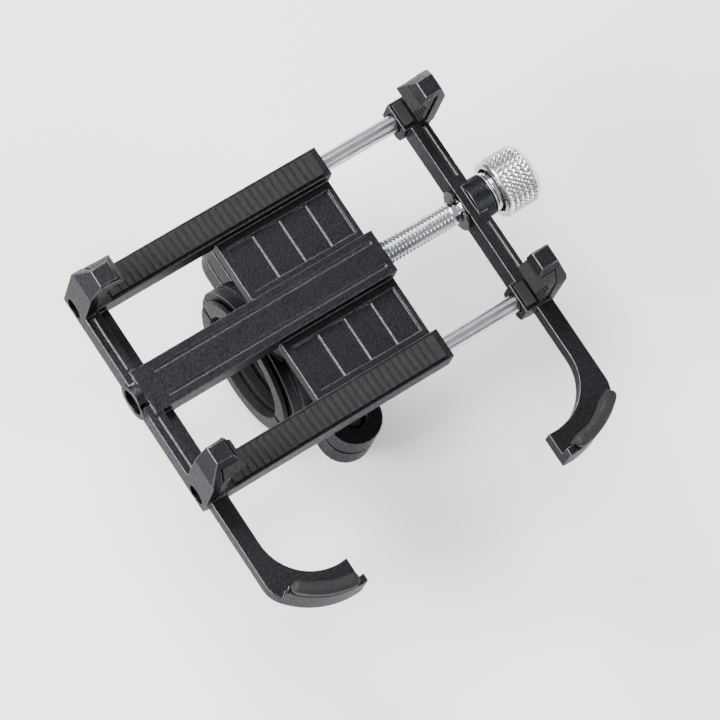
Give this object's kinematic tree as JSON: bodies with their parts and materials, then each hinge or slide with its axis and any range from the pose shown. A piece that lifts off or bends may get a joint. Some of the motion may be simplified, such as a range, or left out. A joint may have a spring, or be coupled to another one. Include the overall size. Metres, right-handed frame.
{
  "type": "bicycle phone mount",
  "caption": "Handlebar clamp carrying a swivelling claw cradle whose sliding jaw is drawn in by a knurled thumb screw to grip a phone by its edges and bottom corners.",
  "frame": {"origin": "centre of the handlebar clamp's bore", "axes": "+X along the handlebar towards the thumb screw, +Y away from the rider along the phone, +Z out of the phone's screen"},
  "size_m": [0.0893, 0.0777, 0.0611],
  "materials": {
    "anodised_black": "satin black anodised, fine blasted grain",
    "rubber_black": "matte black moulded rubber",
    "steel": "bright zinc-plated steel",
    "black_steel": "black oxide steel",
    "nickel": "satin nickel, knurled",
    "chrome": "polished chrome",
    "nylon": "natural nylon"
  },
  "bodies": {
    "handlebar_clamp": {"clamp_saddle": "anodised_black", "clamp_cap": "anodised_black", "clamp_liner_upper": "rubber_black", "clamp_liner_lower": "rubber_black", "clamp_bolt_front": "black_steel", "clamp_bolt_rear": "black_steel", "clamp_washer_front": "steel", "clamp_washer_rear": "steel", "swivel_friction_washer": "nylon"},
    "cradle": {"base_frame": "anodised_black", "swivel_screw": "black_steel", "swivel_wave_washer": "steel", "hook_cap_left": "rubber_black", "claw_pad_left_upper": "rubber_black", "claw_pad_left_lower": "rubber_black", "back_pad_upper": "rubber_black", "back_pad_lower": "rubber_black"},
    "sliding_jaw": {"jaw_frame": "anodised_black", "hook_cap_right": "rubber_black", "claw_pad_right_upper": "rubber_black", "claw_pad_right_lower": "rubber_black", "jaw_pad_upper": "rubber_black", "jaw_pad_lower": "rubber_black", "guide_rod_upper": "steel", "guide_rod_lower": "steel", "rod_set_screw_upper": "black_steel", "rod_set_screw_lower": "black_steel"},
    "thumb_screw": {"thumb_screw": "chrome", "knurled_knob": "nickel", "thrust_washer": "steel", "retaining_clip": "steel"}
  },
  "joints": [
    {"name": "swivel", "type": "hinge", "parent": "handlebar_clamp", "child": "cradle", "pos_m": [0, 0, 0.0183], "axis": [0, 0, 1], "continuous": true},
    {"name": "jaw_slide", "type": "slide", "parent": "cradle", "child": "sliding_jaw", "axis": [1, 0, 0], "range_m": [-0.016, 0.024]},
    {"name": "thumb_screw_turn", "type": "hinge", "parent": "sliding_jaw", "child": "thumb_screw", "pos_m": [0.0405, 0, 0.0265], "axis": [1, 0, 0], "range_deg": [-7210, 10810]}
  ],
  "couplings": [
    {"joint": "thumb_screw_turn", "follows": "jaw_slide", "rad_per_m": 7854}
  ]
}
